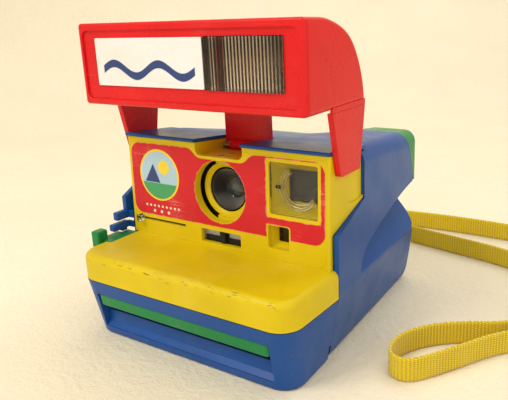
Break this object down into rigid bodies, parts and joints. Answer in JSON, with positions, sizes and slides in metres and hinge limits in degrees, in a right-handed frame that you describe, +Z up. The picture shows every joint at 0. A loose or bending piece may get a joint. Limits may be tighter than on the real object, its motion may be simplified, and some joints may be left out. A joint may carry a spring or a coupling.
{
  "type": "instant camera",
  "caption": "Box-shaped instant film camera with a fold-down flash bar over the lens face, a film door with rollers under a front shelf, side buttons and a webbing neck strap.",
  "frame": {"origin": "on the flat base, in the middle of the width, 0.073 m behind the front edge of the shelf", "axes": "+X to the right seen from the front, the lens looks along -Y, +Z up"},
  "size_m": [0.2269, 0.2185, 0.1435],
  "materials": {
    "blue_plastic": "smooth satin blue moulding",
    "yellow_plastic": "smooth yellow moulding, slightly scuffed",
    "red_plastic": "glossy red moulding",
    "green_plastic": "smooth green moulding",
    "red_label": "printed self-adhesive label",
    "white_label": "printed white plate",
    "black_plastic": "matt black moulding",
    "clear_plastic": "clear moulded plastic",
    "lens_glass": "coated lens",
    "flash_lens": "ribbed clear flash cover",
    "reflector_metal": "gold-tinted reflector",
    "tube_glass": "xenon tube",
    "mirror_glass": "front-silvered mirror",
    "roller_steel": "ground steel",
    "pin_steel": "drawn wire",
    "contact_brass": "spring contact",
    "board": "printed circuit board",
    "capacitor": "sleeved capacitor",
    "motor_metal": "plated can",
    "gear_plastic": "natural acetal",
    "cell": "dark sensor window",
    "webbing": "woven yellow webbing",
    "eyecup_rubber": "soft black rubber"
  },
  "bodies": {
    "camera_body": {"body_housing": "blue_plastic", "back_cover": "green_plastic", "eyepiece_cup": "eyecup_rubber", "eyepiece_lens": "clear_plastic", "counter_window": "clear_plastic", "front_housing": "yellow_plastic", "face_panel": "yellow_plastic", "face_label": "red_label", "front_deck": "yellow_plastic", "door_hinge_pin": "pin_steel", "button_guard": "blue_plastic", "lens_ring": "yellow_plastic", "lens_baffle": "black_plastic", "taking_lens": "lens_glass", "shutter_housing": "black_plastic", "exposure_scale": "white_label", "viewfinder_window": "clear_plastic", "viewfinder_funnel": "yellow_plastic", "viewfinder_lens": "clear_plastic", "viewfinder_tube": "black_plastic", "sensor_funnel": "yellow_plastic", "photocell": "cell", "film_frame": "black_plastic", "light_hood": "black_plastic", "mirror": "mirror_glass", "battery_contacts": "contact_brass", "circuit_board": "board", "flash_capacitor": "capacitor", "drive_motor": "motor_metal", "gear_shaft": "pin_steel", "hinge_shaft": "pin_steel", "base_screws": "pin_steel", "strap_lugs": "pin_steel", "neck_strap": "webbing"},
    "film_door": {"film_door": "blue_plastic", "green_lip": "green_plastic", "roller_frame": "black_plastic"},
    "upper_roller": {"upper_roller": "roller_steel"},
    "lower_roller": {"lower_roller": "roller_steel"},
    "shutter_button": {"shutter_button": "green_plastic"},
    "override_button": {"override_button": "blue_plastic"},
    "door_latch": {"door_latch": "yellow_plastic"},
    "shutter_blade_front": {"shutter_blade_front": "black_plastic"},
    "shutter_blade_rear": {"shutter_blade_rear": "black_plastic"},
    "closeup_slide": {"closeup_slide": "clear_plastic"},
    "exposure_slider": {"exposure_slider": "black_plastic"},
    "counter_dial": {"counter_dial": "white_label"},
    "motor_pinion": {"motor_pinion": "gear_plastic"},
    "drive_gear": {"drive_gear": "gear_plastic"},
    "flash_unit": {"flash_housing": "red_plastic", "flash_frame": "red_plastic", "flash_window": "flash_lens", "flash_reflector": "reflector_metal", "flash_tube": "tube_glass", "label_plate": "white_label", "flash_board": "board"}
  },
  "joints": [
    {"name": "flash_fold", "type": "hinge", "parent": "camera_body", "child": "flash_unit", "pos_m": [0, -0.0137, 0.0845], "axis": [1, 0, 0], "range_deg": [0, 90]},
    {"name": "film_door_hinge", "type": "hinge", "parent": "camera_body", "child": "film_door", "pos_m": [0, -0.0376, 0.0034], "axis": [1, 0, 0], "range_deg": [0, 70]},
    {"name": "upper_roller_spin", "type": "hinge", "parent": "film_door", "child": "upper_roller", "pos_m": [0, -0.0568, 0.01785], "axis": [1, 0, 0], "continuous": true},
    {"name": "lower_roller_spin", "type": "hinge", "parent": "film_door", "child": "lower_roller", "pos_m": [0, -0.0568, 0.00955], "axis": [1, 0, 0], "continuous": true},
    {"name": "shutter_press", "type": "slide", "parent": "camera_body", "child": "shutter_button", "axis": [0, 1, 0], "range_m": [0, 0.002], "stiffness_N_per_m": 400},
    {"name": "override_press", "type": "slide", "parent": "camera_body", "child": "override_button", "axis": [0, 1, 0], "range_m": [0, 0.0015], "stiffness_N_per_m": 300},
    {"name": "latch_slide", "type": "slide", "parent": "camera_body", "child": "door_latch", "axis": [0, 1, 0], "range_m": [0, 0.004], "stiffness_N_per_m": 250},
    {"name": "blade_front_slide", "type": "slide", "parent": "camera_body", "child": "shutter_blade_front", "axis": [1, 0, 0], "range_m": [-0.005, 0], "stiffness_N_per_m": 20},
    {"name": "blade_rear_slide", "type": "slide", "parent": "camera_body", "child": "shutter_blade_rear", "axis": [1, 0, 0], "range_m": [0, 0.005]},
    {"name": "closeup_shift", "type": "slide", "parent": "camera_body", "child": "closeup_slide", "axis": [1, 0, 0], "range_m": [0, 0.027]},
    {"name": "exposure_shift", "type": "slide", "parent": "camera_body", "child": "exposure_slider", "axis": [1, 0, 0], "range_m": [-0.007, 0.007]},
    {"name": "counter_turn", "type": "hinge", "parent": "camera_body", "child": "counter_dial", "pos_m": [-0.022, 0.0629, 0.0654], "axis": [0, 1, 0], "range_deg": [0, 324]},
    {"name": "motor_spin", "type": "hinge", "parent": "camera_body", "child": "motor_pinion", "pos_m": [0.05, -0.02, 0.0542], "axis": [1, 0, 0], "continuous": true},
    {"name": "drive_gear_spin", "type": "hinge", "parent": "camera_body", "child": "drive_gear", "pos_m": [0.05, -0.008, 0.0542], "axis": [1, 0, 0], "continuous": true}
  ],
  "couplings": [
    {"joint": "lower_roller_spin", "follows": "upper_roller_spin", "ratio": -1},
    {"joint": "motor_spin", "follows": "drive_gear_spin", "ratio": -3},
    {"joint": "blade_rear_slide", "follows": "blade_front_slide", "ratio": -1}
  ]
}
